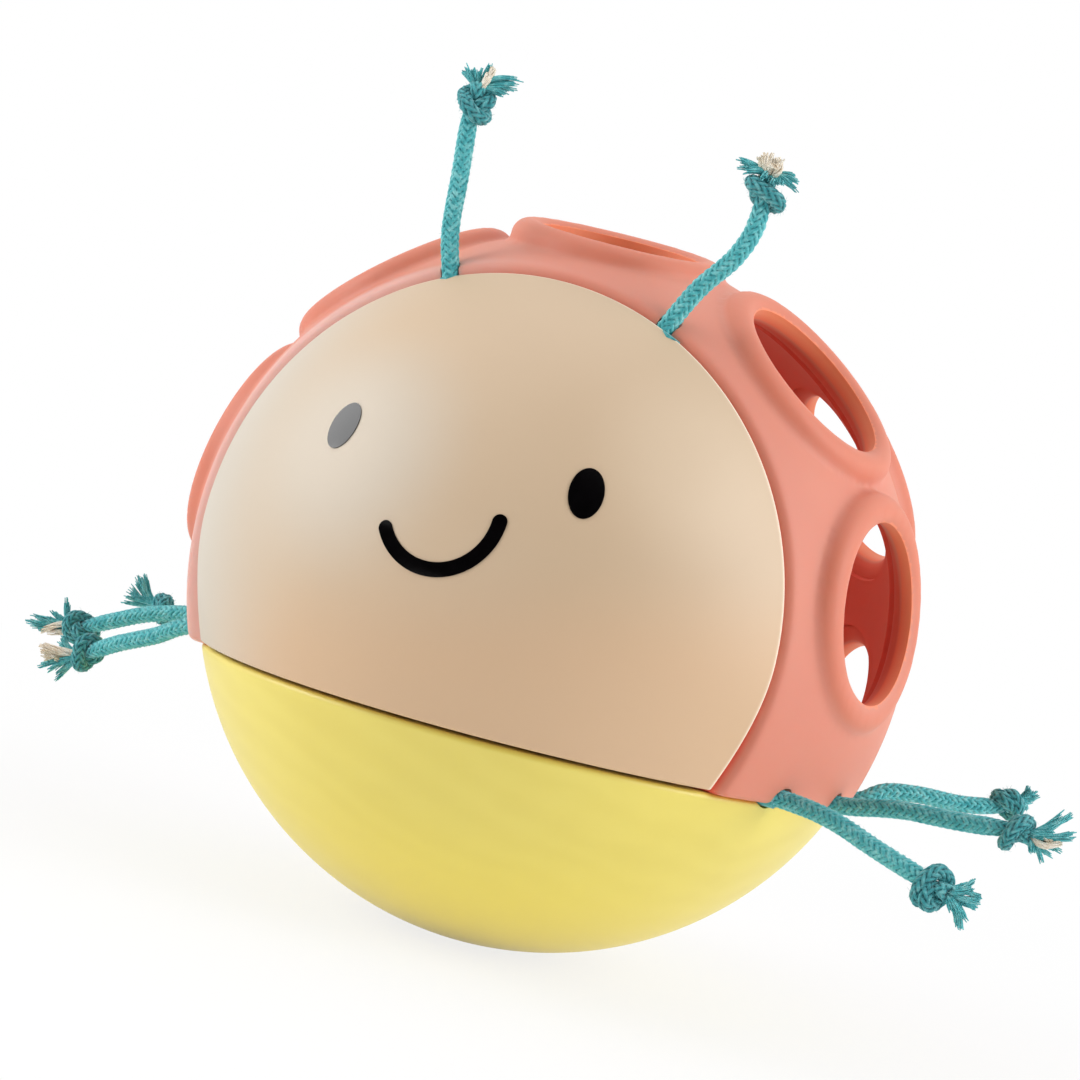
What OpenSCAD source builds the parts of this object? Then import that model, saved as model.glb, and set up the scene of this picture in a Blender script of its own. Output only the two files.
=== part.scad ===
// Ladybird rattle ball: a wooden base, a sealed face capsule with loose beads, a soft grip shell with
// finger holes, six knotted cord legs and two knotted cord antennae.
// The face looks along -Y, +X is the viewer's right, and the origin is the middle of the flat foot.

/* [Ball] */
// Radius of the wooden base
base_r = 50; // [45:0.5:55]
// How far the face and the grip shell stand proud of the base
proud = 1.4; // [1:0.1:2]
// Drop of the seam plane below the centre of the ball
seam_drop = 17.4; // [16.4:0.2:18.4]
// Depth of the face, from its front to the plane where the shell begins
face_depth = 22.4; // [21.4:0.2:23.4]
// Diameter of the flat foot
foot_d = 16; // [12:1:20]
// Shadow gap between the face and the base
seam_gap = 0.5; // [0.3:0.1:0.8]
// Chamfer round the top edge of the base
base_edge = 0.6; // [0.4:0.1:0.8]

/* [Face capsule] */
// Wall thickness of the face dome
face_wall = 2.6; // [2.2:0.1:3]
// Thickness of the back plate that closes the capsule
back_t = 3; // [2.6:0.2:3.4]
// Thickness of the floor under the beads
capsule_floor = 2; // [1.6:0.2:2.4]
// Diameter of a rattle bead
bead_d = 8; // [6:0.5:8.5]

/* [Printed face] */
// Width of an eye
eye_w = 4.8; // [4:0.2:5.6]
// Height of an eye
eye_h = 6.8; // [6:0.2:7.6]
// Radius of the smile
smile_r = 7.75; // [7:0.25:8.5]
// Stroke width of the smile
smile_w = 1.9; // [1.5:0.1:2.3]
// Offset of the smile's middle to the viewer's right
smile_x = 2.1; // [0:0.1:4]
// Height of the smile's middle over the centre of the ball
smile_z = 9.85; // [8:0.25:12]
// Thickness of the print
ink_t = 0.15; // [0.1:0.05:0.2]

/* [Grip shell] */
// Wall thickness of the shell
shell_wall = 3.6; // [3.2:0.1:4]
// Diameter of a finger hole
hole_d = 24.8; // [24:0.2:26]
// Diameter of each small hole low at the back
small_hole_d = 17; // [14:0.5:17]
// Thickness of the rolled lip round a hole
lip_d = 4; // [3.6:0.1:4.2]
// Rise of the lip's middle line over the shell surface
lip_rise = 0.4; // [0.3:0.1:0.6]
// Step between the five holes of the front ring, in degrees
ring_step = 39.7; // [39.5:0.1:40.5]
// Thickness of the shell flange clamped on the base
flange_t = 1.6; // [1.2:0.1:1.8]

/* [Inner frame] */
// Thickness of the frame's floor
frame_t = 4.8; // [4.4:0.2:5.4]
// Height of the frame's front wall
frame_wall_h = 10; // [9:0.5:12]
// Shank diameter of a base screw
screw_d = 3; // [2.5:0.1:3.5]
// Length of a base screw
screw_l = 16; // [12:1:18]

/* [Cords] */
// Diameter of the braided cord
cord_d = 3; // [2.6:0.1:3.2]
// Room round a cord where it is held
cord_fit = 0.3; // [0.25:0.05:0.4]
// Diameter of a knot
knot_d = 6.4; // [5.4:0.2:6.8]
// Length of a knot
knot_l = 6.6; // [5.6:0.2:7]
// Diameter of a frayed tip
tuft_d = 5; // [4:0.2:5.6]

/* [Hidden] */
$fn = 96;

// Ball
centre_z = sqrt(base_r * base_r - foot_d * foot_d / 4);
shell_r = base_r + proud;
face_ahead = shell_r - face_depth;
seam_rho = sqrt(base_r * base_r - seam_drop * seam_drop);
slip = 0.1;
seat = 0.2;

// Face capsule: all in the frame of the ball's centre
dome_in = shell_r - face_wall;
dome_floor = -seam_drop + seam_gap + capsule_floor;
back_front = -face_ahead - back_t;
plug_r = (sqrt(dome_in * dome_in - back_front * back_front)
    + sqrt(shell_r * shell_r - back_front * back_front)) / 2;
bead_back = 0.5;
bead_room = 0.95;
bead_y = back_front - bead_d / 2 - bead_back;
bead_z = dome_floor + bead_d / 2 + 0.05;
bead_reach = dome_in - bead_d / 2 - bead_room;
bead_step = sqrt(bead_reach * bead_reach - bead_y * bead_y - bead_z * bead_z) / 2;

// Grip shell
shell_in = shell_r - shell_wall;
shell_front = -face_ahead + seat;
flange_w = 3;
flange_in = sqrt(shell_in * shell_in - seam_drop * seam_drop) - flange_w;
rim_over = flange_w * 0.8;
// Each hole: lean from the back axis, turn about it from the top, diameter
holes = concat(
    [for (i = [-2 : 2]) [99, i * ring_step, hole_d]],
    [for (i = [-1 : 1]) [58, i * 47, hole_d]],
    [for (i = [-1, 1]) [47, i * 96, small_hole_d]],
    [[14, 0, hole_d]]);

// Inner frame
frame_top = -seam_drop + frame_t;
frame_back = 5;
frame_front = -face_ahead + frame_back;
frame_wall_t = 2;
rim_under = -seam_drop + flange_t + seat;
boss_x = 18;
boss_d = 8;
boss_up = 0.6;
boss_z = frame_top + boss_d / 2 + boss_up;
small_screw_d = 2.6;
small_screw_l = 6;
pilot_l = small_screw_l + 0.5;
small_head_h = 1.8;
ring_out = sqrt(shell_in * shell_in - face_ahead * face_ahead) - 0.5;
ring_t = 2;
ring_h = 4;
head_d = 2 * screw_d + 0.2;
head_h = 1.6;

// Cords
cord_r = cord_d / 2;
hold_r = cord_r + cord_fit;
mouth_r = hold_r + 0.1;
reach_out = 0.6;
leg_z = -seam_drop + 1;
leg_rho = sqrt(shell_r * shell_r - leg_z * leg_z);
leg_y = [for (a = [-21.5, -3.5, 14.5]) leg_rho * sin(a)];
leg_x = [for (y = leg_y) sqrt(leg_rho * leg_rho - y * y) + reach_out];
// The base screws stand on one ring, the front pair between the first two leg cords
screw_edge = 6.7;
screw_ring = flange_in - screw_edge;
screw_turns = [asin((leg_y[0] + leg_y[1]) / 2 / screw_ring), 51];
screw_spots = [
    for (side = [-1, 1])
        for (a = screw_turns)
            screw_ring * [side * cos(a), sin(a)]
];
antenna_y = -face_ahead + hold_r;
antenna_turn = [-21, 24.5];
antenna_rho = sqrt(shell_r * shell_r - antenna_y * antenna_y) + reach_out;
run_gap = 0.7;
run_rho = ring_out - ring_t - hold_r - run_gap;
run_lift = 2.5;
// Each route: two bends, the middle of the knot and the tip, from where the cord comes out
right_front_route = [[7, -2.5, -0.5], [15, -6, -2.5], [24, -9.5, -4], [31, -12.5, -5.5]];
right_middle_route = [[7.5, -2, 2], [16, -4, 3.5], [25, -6.5, 3.5], [31.5, -8.5, 2]];
right_rear_route = [[5.5, 4.5, 2], [11, 7.5, 2.5], [19, 13.5, 4], [23, 17, 6]];
left_front_route = [[-5, 1.5, -1.5], [-13, 4, -5.5], [-20.5, 7, -9], [-28, 9.5, -12]];
left_middle_route = [[-6, 1, 0], [-15.5, 2.5, -2.5], [-25.5, 4.5, -6.5], [-33, 6, -8]];
left_rear_route = [[-7, 2, 0.5], [-16, 6, 0], [-26, 11, -1.5], [-33, 14, 0]];
antenna_left_route = [[-1.5, 0, 6], [-2.5, 0.5, 14], [-3.5, 1, 22.5], [-1.5, 1.5, 29]];
antenna_right_route = [[1, 0, 4.5], [4.5, 0.5, 10], [6.5, 0.5, 19.5], [6, 0, 26]];

function unit(v) = v / norm(v);
function leg_exit(i, side) = [side * leg_x[i], leg_y[i], leg_z];
function antenna_exit(i) = [antenna_rho * sin(antenna_turn[i]), antenna_y, antenna_rho * cos(antenna_turn[i])];

// Rings of a free cord end, each a middle point and a radius: a ball root, the cord, its knot and its frayed tip
function cord_rings(route) =
    let (
        root = unit(route[0]),
        into = unit(route[2] - route[1]),
        away = unit(route[3] - route[2])
    )
    [
        [-root * cord_r * 0.8, cord_r * 0.6],
        [[0, 0, 0], cord_r],
        [route[0], cord_r],
        [route[1], cord_r],
        [route[2] - into * knot_l / 2, cord_r],
        [route[2] - into * knot_l / 5, knot_d / 2],
        [route[2] + away * knot_l / 5, knot_d / 2],
        [route[2] + away * knot_l / 2, cord_r],
        [(route[2] + route[3]) / 2 + away * knot_l / 4, tuft_d / 2],
        [route[3], tuft_d / 2 * 0.85]
    ];

// Direction of the sweep at each ring
function ring_ways(rings) =
    let (last = len(rings) - 1)
    [for (i = [0 : last]) unit(rings[min(i + 1, last)][0] - rings[max(i - 1, 0)][0])];

// Side vector of each ring, carried along the sweep without twist
function ring_sides(ways, first) = [
    for (i = 0, s = unit(first - ways[0] * (first * ways[0])); i < len(ways);
        i = i + 1, s = i < len(ways) ? unit(s - ways[i] * (s * ways[i])) : s) s
];

// A closed tube through the rings, with eight sides
module swept(rings, first) {
    sides = 8;
    n = len(rings);
    ways = ring_ways(rings);
    ups = ring_sides(ways, first);
    points = [
        for (i = [0 : n - 1])
            for (k = [0 : sides - 1])
                let (a = k * 360 / sides)
                rings[i][0] + rings[i][1] * (cos(a) * ups[i] + sin(a) * cross(ways[i], ups[i]))
    ];
    walls = [
        for (i = [0 : n - 2])
            for (k = [0 : sides - 1])
                let (a = i * sides + k, b = i * sides + (k + 1) % sides)
                each [[a, a + sides, b], [b, a + sides, b + sides]]
    ];
    start = [for (k = [1 : sides - 2]) [0, k, k + 1]];
    finish = [for (k = [1 : sides - 2]) [(n - 1) * sides, (n - 1) * sides + k + 1, (n - 1) * sides + k]];
    polyhedron(points = points, faces = concat(walls, start, finish));
}

// Lifts a shape drawn about the ball's centre onto the foot plane
module lift() {
    translate([0, 0, centre_z])
        children();
}

// Turns +Z to a hole's axis
module at_hole(hole) {
    rotate([hole[0] - 90, hole[1], 0])
        children();
}

// Room along a leg cord through the ball
module leg_way(i, r) {
    translate([0, leg_y[i], leg_z])
        rotate([0, 90, 0])
            cylinder(r = r, h = 4 * base_r, center = true);
}

// Room along an antenna cord through the shell's front edge
module antenna_way(i, r) {
    rotate([0, antenna_turn[i], 0]) {
        translate([0, antenna_y, run_rho - run_lift])
            cylinder(r = r, h = base_r);
        translate([-r, -face_ahead - 1, run_rho - run_lift])
            cube([2 * r, antenna_y + face_ahead + 1, base_r]);
    }
}

// Everything above the base and behind the face plane
module rear_room(front, bottom) {
    translate([-2 * base_r, front, bottom])
        cube([4 * base_r, 4 * base_r, 4 * base_r]);
}

// Turned wooden base with a flat foot, cord grooves and screw pilots
module base() {
    color("#ddcb66")
        lift()
            difference() {
                intersection() {
                    sphere(r = base_r);
                    translate([0, 0, -centre_z])
                        cylinder(h = centre_z - seam_drop,
                            r1 = seam_rho - base_edge + centre_z - seam_drop, r2 = seam_rho - base_edge);
                }
                for (i = [0 : 2])
                    leg_way(i, hold_r);
                for (s = screw_spots)
                    translate([s[0], s[1], frame_top - screw_l - 1])
                        cylinder(d = screw_d + slip, h = screw_l + 2);
            }
}

// Moulded inner frame: floor, clamping rim over the shell's flange, and front wall
module chassis() {
    color("#cfc4b2")
        lift()
            difference() {
                union() {
                    intersection() {
                        union() {
                            translate([0, 0, -seam_drop])
                                cylinder(r = flange_in - 0.3, h = frame_t);
                            translate([0, 0, rim_under])
                                cylinder(r = flange_in + rim_over, h = frame_top - rim_under);
                        }
                        rear_room(frame_front, -seam_drop);
                    }
                    translate([-boss_x - boss_d, frame_front, frame_top - 1])
                        cube([2 * (boss_x + boss_d), frame_wall_t, frame_wall_h + 1]);
                }
                for (i = [0 : 2])
                    leg_way(i, hold_r);
                for (s = screw_spots)
                    translate([s[0], s[1], 0]) {
                        translate([0, 0, -seam_drop - 1])
                            cylinder(d = screw_d + 0.3, h = frame_t + 2);
                        translate([0, 0, frame_top - head_h - slip])
                            cylinder(d1 = screw_d + 0.3, d2 = head_d + 0.6, h = head_h + 0.2);
                    }
                for (x = [-boss_x, boss_x])
                    translate([x, frame_front - 1, boss_z])
                        rotate([-90, 0, 0])
                            cylinder(d = small_screw_d + 0.4, h = frame_wall_t + 2);
            }
}

// Four countersunk wood screws that clamp the frame to the base
module base_screws() {
    color("#b9bcc0")
        lift()
            for (s = screw_spots)
                translate([s[0], s[1], frame_top])
                    difference() {
                        union() {
                            translate([0, 0, -screw_l])
                                cylinder(d = screw_d, h = screw_l);
                            translate([0, 0, -head_h])
                                cylinder(d1 = screw_d, d2 = head_d, h = head_h);
                        }
                        for (a = [0, 90])
                            rotate(a)
                                translate([0, 0, 0.1])
                                    cube([0.6 * head_d, 0.8, 1.8], center = true);
                    }
}

// Face: a domed cap with its own floor, open at the back
module face_dome() {
    color("#dfcbb0")
        lift()
            difference() {
                intersection() {
                    sphere(r = shell_r);
                    translate([-2 * base_r, -face_ahead - 4 * base_r, -seam_drop + seam_gap])
                        cube([4 * base_r, 4 * base_r, 4 * base_r]);
                }
                intersection() {
                    sphere(r = dome_in);
                    translate([-2 * base_r, -2 * base_r, dome_floor])
                        cube([4 * base_r, 4 * base_r, 4 * base_r]);
                }
                intersection() {
                    translate([0, back_front, 0])
                        rotate([-90, 0, 0])
                            cylinder(r = plug_r, h = back_t + frame_back);
                    rear_room(-2 * base_r, dome_floor);
                }
            }
}

// Back plate of the capsule, with the ring that locates the shell and two screw bosses
module rattle_back() {
    color("#cfc4b2")
        lift()
            difference() {
                union() {
                    intersection() {
                        translate([0, back_front, 0])
                            rotate([-90, 0, 0])
                                cylinder(r = plug_r - slip, h = back_t);
                        rear_room(-2 * base_r, dome_floor + slip);
                    }
                    intersection() {
                        translate([0, -face_ahead - 1, 0])
                            rotate([-90, 0, 0])
                                difference() {
                                    cylinder(r = ring_out, h = ring_h + 1);
                                    translate([0, 0, -1])
                                        cylinder(r = ring_out - ring_t, h = ring_h + 3);
                                }
                        rear_room(-2 * base_r, 0);
                    }
                    for (x = [-boss_x, boss_x])
                        translate([x, -face_ahead - 1, boss_z])
                            rotate([-90, 0, 0])
                                cylinder(d = boss_d, h = frame_front + face_ahead + 1);
                }
                for (x = [-boss_x, boss_x])
                    translate([x, frame_front - pilot_l, boss_z])
                        rotate([-90, 0, 0])
                            cylinder(d = small_screw_d + slip, h = pilot_l + 1);
                for (i = [0, 1])
                    rotate([0, antenna_turn[i], 0])
                        translate([0, antenna_y, run_rho - run_lift])
                            cylinder(r = hold_r, h = base_r);
            }
}

// Two pan head screws that hold the capsule to the frame
module capsule_screws() {
    color("#b9bcc0")
        lift()
            for (x = [-boss_x, boss_x])
                translate([x, frame_front + frame_wall_t, boss_z])
                    rotate([-90, 0, 0])
                        difference() {
                            union() {
                                translate([0, 0, -frame_wall_t - small_screw_l])
                                    cylinder(d = small_screw_d, h = frame_wall_t + small_screw_l + slip);
                                cylinder(d = 2 * small_screw_d, h = small_head_h);
                            }
                            for (a = [0, 90])
                                rotate(a)
                                    translate([0, 0, small_head_h])
                                        cube([small_screw_d, 0.7, small_head_h], center = true);
                        }
}

// The thin layer on the face that takes the print
module ink_layer() {
    difference() {
        sphere(r = shell_r + ink_t);
        sphere(r = shell_r);
    }
}

// A printed oval eye, at a turn from the middle and a height angle
module eye(turn, height) {
    color("#050405")
        lift()
            intersection() {
                ink_layer();
                rotate([90 - height, 0, turn])
                    translate([0, 0, shell_r / 2])
                        linear_extrude(shell_r)
                            polygon([for (a = [0 : 7.5 : 359]) [eye_w / 2 * cos(a), eye_h / 2 * sin(a)]]);
            }
}

module eye_left() {
    eye(-18.9, 18.9);
}

module eye_right() {
    eye(22.1, 18.4);
}

// Outline of an arc stroke with round ends
function stroke(r, w, from, to) = concat(
    [for (i = [0 : 24]) let (a = from + (to - from) * i / 24) (r + w / 2) * [cos(a), sin(a)]],
    [for (b = [15 : 15 : 165]) r * [cos(to), sin(to)] + w / 2 * [cos(to + b), sin(to + b)]],
    [for (i = [0 : 24]) let (a = to + (from - to) * i / 24) (r - w / 2) * [cos(a), sin(a)]],
    [for (b = [15 : 15 : 165]) r * [cos(from), sin(from)] - w / 2 * [cos(from + b), sin(from + b)]]);

// A printed smile, leaning up to the viewer's right
module smile() {
    color("#050405")
        lift()
            intersection() {
                ink_layer();
                rotate([90, 0, 0])
                    translate([smile_x, smile_z, shell_r / 2])
                        linear_extrude(shell_r)
                            polygon(stroke(smile_r, smile_w, 212, 361.5));
            }
}

// Soft shell with lipped finger holes, a flange clamped on the base, and cord notches in its edges
module grip_shell() {
    color("#e59e88")
        lift()
            union() {
                difference() {
                    union() {
                        intersection() {
                            difference() {
                                sphere(r = shell_r);
                                sphere(r = shell_in);
                            }
                            rear_room(shell_front, -seam_drop);
                        }
                        intersection() {
                            translate([0, 0, -seam_drop])
                                difference() {
                                    cylinder(r = seam_rho - 0.5, h = flange_t);
                                    translate([0, 0, -1])
                                        cylinder(r = flange_in, h = flange_t + 2);
                                }
                            rear_room(shell_front, -seam_drop);
                        }
                    }
                    for (h = holes)
                        hole_cut(h);
                    for (i = [0 : 2])
                        leg_way(i, mouth_r);
                    for (i = [0, 1])
                        antenna_way(i, mouth_r);
                }
                for (h = holes)
                    difference() {
                        at_hole(h)
                            lip(h[2] / 2 + lip_d / 2 - 0.2);
                        hole_cut(h);
                    }
            }
}

// The round way through the shell at a hole
module hole_cut(h) {
    at_hole(h)
        translate([0, 0, shell_r / 2])
            cylinder(d = h[2], h = shell_r);
}

// The rolled lip of a hole, round +Z
module lip(r) {
    middle = sqrt((shell_r + lip_rise) * (shell_r + lip_rise) - r * r);
    translate([0, 0, middle])
        rotate_extrude()
            translate([r, 0])
                circle(d = lip_d);
}

// A loose bead at rest on the capsule's floor
module bead(i) {
    color("#c9a36b")
        lift()
            translate([(i - 3) * bead_step, bead_y, bead_z])
                sphere(d = bead_d);
}

module bead_1() {
    bead(1);
}

module bead_2() {
    bead(2);
}

module bead_3() {
    bead(3);
}

module bead_4() {
    bead(4);
}

module bead_5() {
    bead(5);
}

// The held part of a leg cord, straight through the ball between its two ends
module leg_run(i) {
    half = leg_x[i] - cord_r - 0.25;
    color("#4f9fa3")
        lift()
            translate([-half, leg_y[i], leg_z])
                rotate([0, 90, 0])
                    cylinder(r = cord_r, h = 2 * half);
}

module leg_run_front() {
    leg_run(0);
}

module leg_run_middle() {
    leg_run(1);
}

module leg_run_rear() {
    leg_run(2);
}

// A point behind the back plate, at a turn from the top and a distance from the ball's middle line
function behind(turn, rho) = [rho * sin(turn), antenna_y, rho * cos(turn)];

// The held part of the antenna cord, bent round behind the back plate
module antenna_run() {
    out = antenna_rho - cord_r - 0.25;
    bend = run_rho + run_lift;
    from = antenna_turn[0];
    to = antenna_turn[1];
    points = concat(
        [behind(from, out), behind(from, bend)],
        [for (i = [0 : 6]) behind(from + 3 + (to - from - 6) * i / 6, run_rho)],
        [behind(to, bend), behind(to, out)]);
    color("#4f9fa3")
        lift()
            swept([for (p = points) [p, cord_r]], [0, 1, 0]);
}

// A free cord end from where it comes out to its frayed tip
module cord_end(out, route) {
    color("#55afb2")
        lift()
            translate(out)
                swept(cord_rings(route), abs(unit(route[0])[2]) > 0.7 ? [1, 0, 0] : [0, 0, 1]);
}

module leg_right_front() {
    cord_end(leg_exit(0, 1), right_front_route);
}

module leg_right_middle() {
    cord_end(leg_exit(1, 1), right_middle_route);
}

module leg_right_rear() {
    cord_end(leg_exit(2, 1), right_rear_route);
}

module leg_left_front() {
    cord_end(leg_exit(0, -1), left_front_route);
}

module leg_left_middle() {
    cord_end(leg_exit(1, -1), left_middle_route);
}

module leg_left_rear() {
    cord_end(leg_exit(2, -1), left_rear_route);
}

module antenna_left() {
    cord_end(antenna_exit(0), antenna_left_route);
}

module antenna_right() {
    cord_end(antenna_exit(1), antenna_right_route);
}

base();
chassis();
base_screws();
face_dome();
rattle_back();
capsule_screws();
eye_left();
eye_right();
smile();
grip_shell();
bead_1();
bead_2();
bead_3();
bead_4();
bead_5();
leg_run_front();
leg_run_middle();
leg_run_rear();
antenna_run();
leg_right_front();
leg_right_middle();
leg_right_rear();
leg_left_front();
leg_left_middle();
leg_left_rear();
antenna_left();
antenna_right();
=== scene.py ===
"""Ladybird rattle ball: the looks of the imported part, and the studio it is seen in."""
import math
import random

import bmesh
import bpy
import numpy as np
from mathutils import Matrix, Vector, kdtree


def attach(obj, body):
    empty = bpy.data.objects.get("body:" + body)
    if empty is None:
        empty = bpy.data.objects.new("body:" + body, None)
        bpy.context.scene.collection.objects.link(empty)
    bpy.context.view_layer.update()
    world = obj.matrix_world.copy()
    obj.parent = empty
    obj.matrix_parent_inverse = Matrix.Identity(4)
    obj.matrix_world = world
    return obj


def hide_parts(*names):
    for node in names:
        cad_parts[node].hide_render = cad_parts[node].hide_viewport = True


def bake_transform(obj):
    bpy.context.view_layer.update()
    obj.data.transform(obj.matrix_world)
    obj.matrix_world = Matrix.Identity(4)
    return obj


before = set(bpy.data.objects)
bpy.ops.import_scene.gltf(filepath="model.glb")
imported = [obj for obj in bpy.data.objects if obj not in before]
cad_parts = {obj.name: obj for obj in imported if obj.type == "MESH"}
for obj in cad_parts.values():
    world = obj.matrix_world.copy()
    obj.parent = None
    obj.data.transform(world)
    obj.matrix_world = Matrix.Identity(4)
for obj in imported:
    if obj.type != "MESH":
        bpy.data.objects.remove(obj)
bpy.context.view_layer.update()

MM = 0.001

# Ball, in mm, about its own centre: the face looks along -Y
BASE_R = 50.0
SHELL_R = 51.4
WALL_SHIFT = -0.35
FACE_R = 50.9
FOOT_R = 8.0
SEAM_Z = -17.4
FACE_LOW_Z = -16.9
FACE_DRAW = 0.95
FACE_Y = -27.2
SHELL_FRONT_Y = -27.0
SHELL_IN_R = 48.6
CENTRE_Z = math.sqrt(BASE_R**2 - FOOT_R**2)
CENTRE = Vector((0, 0, CENTRE_Z * MM))

# Meshes are smooth below this turn between faces, in degrees, and sharp from it on
SHARP_FROM = 40.0
UP = Vector((0, 0, 1))
AHEAD = Vector((0, -1, 0))
ALONG_X = Matrix.Rotation(math.pi / 2, 3, "Y")

# Finger holes: lean from the back axis, turn about it from the top, radius, drop of the lip's middle line,
# and how the hole leans about its own middle: tilt towards the right, swing towards the back
FINGER_HOLES = (
    [(98.6, 78.3, 12.3, 1.0, 2.5, 1.5), (98.6, 39.8, 12.15, 0.6, 0, 0), (99.0, -0.1, 11.2, 0.1, 3.2, 0)]
    + [(98.6, -38.9, 12.7, 0.1, 0, 0), (98.6, -77.6, 13.3, 0.2, 0.8, 0)]
    + [(58.0, -47.0, 12.2, 0.6, 0, 0), (58.0, 0.0, 12.2, 0.6, 0, 0), (58.0, 48.0, 13.0, 0.6, 0, 0)]
    + [(47.0, i * 96.0, 8.2, 0.7, 0, 0) for i in (-1, 1)]
    + [(14.0, 0.0, 12.2, 0.6, 0, 0)]
)
LIP_R = 2.45
LIP_IN = 1.65
HOLE_ROUND = 2.2

# Cords: the rows of the legs, front to back, and their height
LEG_ROWS = (-17.853, -2.974, 12.197)
LEG_Z = -16.4
HELD = 8.0
STRANDS = 8
BRAID_PITCH = 8.0
STRAND_R = 0.31
BRAID_R = 0.9
BRAID_WAVE = 0.09
# Within this reach of a knot's middle the braid is pulled tighter, easing in over some steps of its route
TIE_REACH = 2.4
TIE_EASE = 8
TIE_SQUEEZE = 0.22
# Fibres that stand off the braid: how many, how long and how thick
FUZZ_COUNT = 320
FUZZ_REACH = 0.9
FUZZ_R = 0.02
# Frayed yarns: the filaments in each, their way from its middle, their radius, and how far it bows
TUFT = dict(strands=7, width=0.21, radius=0.125, curl=0.5)
CORE = dict(strands=8, width=0.32, radius=0.17, curl=1.3)
YARN_LIFT = 0.28
YARN_TWIST = 2.6
YARN_TAPER = (1, 1, 1, 1, 1, 1, 0.97, 0.92, 0.85, 0.6)
# Half of a tight overhand knot, from its middle to where the cord leaves it along +X
KNOT_HALF = [
    (0.0, -1.89, 0.0), (-0.48, -1.89, -0.67), (-1.16, -1.74, -1.52), (-1.85, -1.15, -2.13),
    (-2.42, -0.24, -2.37), (-2.71, 0.80, -2.22), (-2.70, 1.73, -1.64), (-2.37, 2.36, -0.80),
    (-1.74, 2.58, 0.07), (-0.96, 2.33, 0.80), (-0.16, 1.68, 1.17), (0.57, 0.87, 1.05),
    (1.25, 0.33, 0.40), (2.25, 0.08, 0.02), (3.35, 0.0, 0.0),
]
# Where the frayed yarns start, past the middle of the knot
KNOT_END = 1.9
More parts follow.
